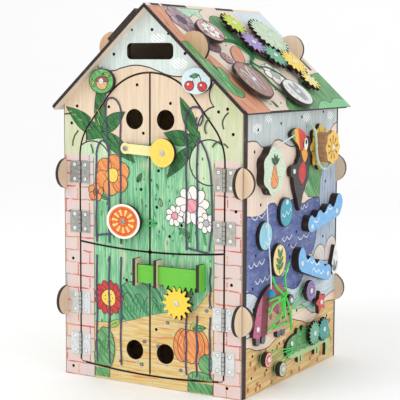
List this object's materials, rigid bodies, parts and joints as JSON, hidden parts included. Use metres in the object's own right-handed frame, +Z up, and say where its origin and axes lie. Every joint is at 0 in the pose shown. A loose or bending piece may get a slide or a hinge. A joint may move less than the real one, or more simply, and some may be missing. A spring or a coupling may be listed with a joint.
{
  "type": "wooden activity house",
  "caption": "Gabled plywood busy-board house with arched double doors, latches, turning gears and knobs, swinging discs, a rope drum and lacing cords.",
  "frame": {"origin": "centre of the underside of the floor panel, on the ground", "axes": "+Z up; the doors face -Y; the side wall with the activities faces +X"},
  "size_m": [0.3452, 0.354, 0.5462],
  "materials": {
    "printed_ply": "satin print",
    "bare_ply": "bare",
    "dark_edge_ply": "laser cut",
    "roof_print": "satin print",
    "sea_print": "satin print",
    "door_print": "satin print",
    "steel": "satin",
    "yellow_paint": "painted",
    "orange_paint": "painted",
    "green_paint": "painted",
    "pale_print": "painted",
    "dark_print": "painted",
    "blue_paint": "painted",
    "drum_paint": "painted",
    "magenta_paint": "painted",
    "leaf_paint": "painted",
    "red_paint": "painted",
    "violet_paint": "painted",
    "teal_paint": "painted",
    "lime_paint": "painted",
    "cream_paint": "painted",
    "brown_paint": "painted",
    "lace_green": "woven",
    "cord_white": "woven",
    "rope_mint": "twisted",
    "elastic_green": "matte",
    "cord_dark_green": "woven"
  },
  "bodies": {
    "house": {"lace_disc": "violet_paint", "gable_disc_left": "leaf_paint", "gable_disc_right": "pale_print", "front_wall": "printed_ply", "front_inner_frame": "dark_edge_ply", "back_wall": "printed_ply", "left_wall": "printed_ply", "right_wall": "sea_print", "floor_panel": "bare_ply", "roof_left": "roof_print", "roof_right": "roof_print", "roof_left_board": "pale_print", "hinge_frame_leaves": "steel", "root_screws": "steel", "guide_tile": "pale_print", "wave_rails": "blue_paint", "lacing_board": "magenta_paint", "log_plate": "leaf_paint", "pull_cord": "cord_white", "drum_rope": "rope_mint", "lacing_lace": "lace_green", "elastics": "elastic_green", "roof_cord": "cord_dark_green"},
    "door_ul": {"door_upper_left": "door_print", "hinges_upper_left": "steel"},
    "door_ur": {"door_upper_right": "door_print", "hinges_upper_right": "steel", "button_lace": "lace_green"},
    "door_ll": {"door_lower_left": "door_print", "hinges_lower_left": "steel", "bolt_keeper_left": "bare_ply"},
    "door_lr": {"door_lower_right": "door_print", "hinges_lower_right": "steel", "bolt_keeper_right": "bare_ply"},
    "latch": {"latch_arm": "yellow_paint"},
    "button": {"button_disc": "orange_paint"},
    "bolt": {"bolt_bar": "green_paint"},
    "pinion": {"pinion_gear": "yellow_paint"},
    "bird": {"bird_lever": "dark_print"},
    "bead": {"pull_bead": "blue_paint"},
    "drum": {"rope_drum": "drum_paint"},
    "swing_a": {"oval_blue_left": "blue_paint"},
    "swing_b": {"oval_blue_right": "teal_paint"},
    "swing_c": {"oval_yellow": "cream_paint"},
    "swing_d": {"oval_white": "cream_paint"},
    "shell": {"shell_knob": "violet_paint"},
    "star": {"star_knob": "red_paint"},
    "knob_a": {"round_knob_a": "orange_paint"},
    "knob_b": {"round_knob_b": "cream_paint"},
    "wall_gear_front": {"log_gear_front": "teal_paint"},
    "wall_gear_rear": {"log_gear_rear": "teal_paint"},
    "gear_teal_body": {"gear_teal": "teal_paint"},
    "gear_purple_body": {"gear_purple": "violet_paint"},
    "gear_lime_body": {"gear_lime": "lime_paint"},
    "gear_yellow_body": {"gear_yellow": "yellow_paint"},
    "gear_small_body": {"gear_small": "cream_paint"},
    "gear_big_body": {"gear_big": "pale_print"},
    "roof_disc_pink_body": {"roof_disc_pink": "pale_print"},
    "roof_disc_brown_body": {"roof_disc_brown": "brown_paint"},
    "roof_disc_grey_body": {"roof_disc_grey": "cream_paint"}
  },
  "joints": [
    {"name": "door_ul_hinge", "type": "hinge", "parent": "house", "child": "door_ul", "pos_m": [-0.1215, -0.1573, 0.2675], "axis": [0, 0, -1], "range_deg": [0, 110], "deforming": ["button_lace"]},
    {"name": "door_ur_hinge", "type": "hinge", "parent": "house", "child": "door_ur", "pos_m": [0.1215, -0.1573, 0.2675], "axis": [0, 0, 1], "range_deg": [0, 110], "deforming": ["button_lace"]},
    {"name": "door_ll_hinge", "type": "hinge", "parent": "house", "child": "door_ll", "pos_m": [-0.1215, -0.1573, 0.0792], "axis": [0, 0, -1], "range_deg": [0, 110]},
    {"name": "door_lr_hinge", "type": "hinge", "parent": "house", "child": "door_lr", "pos_m": [0.1215, -0.1573, 0.0792], "axis": [0, 0, 1], "range_deg": [0, 110]},
    {"name": "latch_pivot", "type": "hinge", "parent": "door_ul", "child": "latch", "pos_m": [-0.038, -0.158, 0.342], "axis": [0, -1, 0], "range_deg": [0, 90]},
    {"name": "button_turn", "type": "hinge", "parent": "door_ul", "child": "button", "pos_m": [-0.038, -0.164, 0.2377], "axis": [0, -1, 0], "continuous": true},
    {"name": "bolt_slide", "type": "slide", "parent": "door_lr", "child": "bolt", "axis": [1, 0, 0], "range_m": [-0.009, 0.014]},
    {"name": "pinion_turn", "type": "hinge", "parent": "door_lr", "child": "pinion", "pos_m": [0.0526, -0.165, 0.128], "axis": [0, 1, 0], "range_deg": [-26, 40]},
    {"name": "bird_pivot", "type": "hinge", "parent": "house", "child": "bird", "pos_m": [0.154, -0.014, 0.3076], "axis": [1, 0, 0], "range_deg": [0, 25], "deforming": ["pull_cord"]},
    {"name": "bead_slide", "type": "slide", "parent": "house", "child": "bead", "axis": [0, 0, -1], "range_m": [0, 0.023], "deforming": ["pull_cord"]},
    {"name": "drum_turn", "type": "hinge", "parent": "house", "child": "drum", "pos_m": [0.16, 0.0775, 0.338], "axis": [1, 0, 0], "continuous": true},
    {"name": "swing_a_pivot", "type": "hinge", "parent": "house", "child": "swing_a", "pos_m": [0.1535, -0.098, 0.237], "axis": [1, 0, 0], "range_deg": [-45, 45]},
    {"name": "swing_b_pivot", "type": "hinge", "parent": "house", "child": "swing_b", "pos_m": [0.1535, -0.034, 0.2645], "axis": [1, 0, 0], "range_deg": [-45, 45]},
    {"name": "swing_c_pivot", "type": "hinge", "parent": "house", "child": "swing_c", "pos_m": [0.1535, -0.054, 0.2], "axis": [1, 0, 0], "range_deg": [-40, 40]},
    {"name": "swing_d_pivot", "type": "hinge", "parent": "house", "child": "swing_d", "pos_m": [0.1535, 0.1385, 0.168], "axis": [1, 0, 0], "range_deg": [-30, 80]},
    {"name": "shell_turn", "type": "hinge", "parent": "house", "child": "shell", "pos_m": [0.16, 0.038, 0.1245], "axis": [1, 0, 0], "continuous": true},
    {"name": "star_turn", "type": "hinge", "parent": "house", "child": "star", "pos_m": [0.16, 0.074, 0.1012], "axis": [1, 0, 0], "continuous": true},
    {"name": "knob_a_turn", "type": "hinge", "parent": "house", "child": "knob_a", "pos_m": [0.16, -0.101, 0.048], "axis": [1, 0, 0], "continuous": true},
    {"name": "knob_b_turn", "type": "hinge", "parent": "house", "child": "knob_b", "pos_m": [0.16, -0.056, 0.0245], "axis": [1, 0, 0], "continuous": true},
    {"name": "wall_gear_front_turn", "type": "hinge", "parent": "house", "child": "wall_gear_front", "pos_m": [0.16, 0.053, 0.0567], "axis": [1, 0, 0], "continuous": true},
    {"name": "wall_gear_rear_turn", "type": "hinge", "parent": "house", "child": "wall_gear_rear", "pos_m": [0.16, 0.087, 0.0567], "axis": [1, 0, 0], "continuous": true},
    {"name": "gear_teal_turn", "type": "hinge", "parent": "house", "child": "gear_teal_body", "pos_m": [0.09413, 0.0434, 0.47311], "axis": [0.6743, 0, 0.7385], "continuous": true},
    {"name": "gear_purple_turn", "type": "hinge", "parent": "house", "child": "gear_purple_body", "pos_m": [0.07316, 0.0124, 0.49226], "axis": [0.6743, 0, 0.7385], "continuous": true},
    {"name": "gear_lime_turn", "type": "hinge", "parent": "house", "child": "gear_lime_body", "pos_m": [0.04229, 0.0081, 0.52044], "axis": [0.6743, 0, 0.7385], "continuous": true},
    {"name": "gear_yellow_turn", "type": "hinge", "parent": "house", "child": "gear_yellow_body", "pos_m": [0.10477, 0.086, 0.4634], "axis": [0.6743, 0, 0.7385], "continuous": true},
    {"name": "gear_small_turn", "type": "hinge", "parent": "house", "child": "gear_small_body", "pos_m": [0.1346, 0.0827, 0.43616], "axis": [0.6743, 0, 0.7385], "continuous": true},
    {"name": "gear_big_turn", "type": "hinge", "parent": "house", "child": "gear_big_body", "pos_m": [0.06046, 0.088, 0.50386], "axis": [0.6743, 0, 0.7385], "continuous": true},
    {"name": "roof_disc_pink_turn", "type": "hinge", "parent": "house", "child": "roof_disc_pink_body", "pos_m": [0.05709, -0.091, 0.50491], "axis": [0.6743, 0, 0.7385], "continuous": true},
    {"name": "roof_disc_brown_turn", "type": "hinge", "parent": "house", "child": "roof_disc_brown_body", "pos_m": [0.12945, -0.092, 0.43883], "axis": [0.6743, 0, 0.7385], "continuous": true},
    {"name": "roof_disc_grey_turn", "type": "hinge", "parent": "house", "child": "roof_disc_grey_body", "pos_m": [0.15013, 0.006, 0.41994], "axis": [0.6743, 0, 0.7385], "continuous": true}
  ],
  "couplings": [
    {"joint": "gear_yellow_turn", "follows": "gear_big_turn", "ratio": -1.5},
    {"joint": "gear_teal_turn", "follows": "gear_big_turn", "ratio": 1.7143},
    {"joint": "gear_purple_turn", "follows": "gear_big_turn", "ratio": -1.7143},
    {"joint": "gear_lime_turn", "follows": "gear_big_turn", "ratio": 1.7143},
    {"joint": "gear_small_turn", "follows": "gear_big_turn", "ratio": 2.1818},
    {"joint": "wall_gear_rear_turn", "follows": "wall_gear_front_turn", "ratio": -1},
    {"joint": "pinion_turn", "follows": "bolt_slide", "rad_per_m": 47.619},
    {"joint": "bead_slide", "follows": "bird_pivot", "m_per_rad": 0.05},
    {"joint": "door_ur_hinge", "follows": "door_ul_hinge", "ratio": 1},
    {"joint": "door_lr_hinge", "follows": "door_ll_hinge", "ratio": 1}
  ]
}
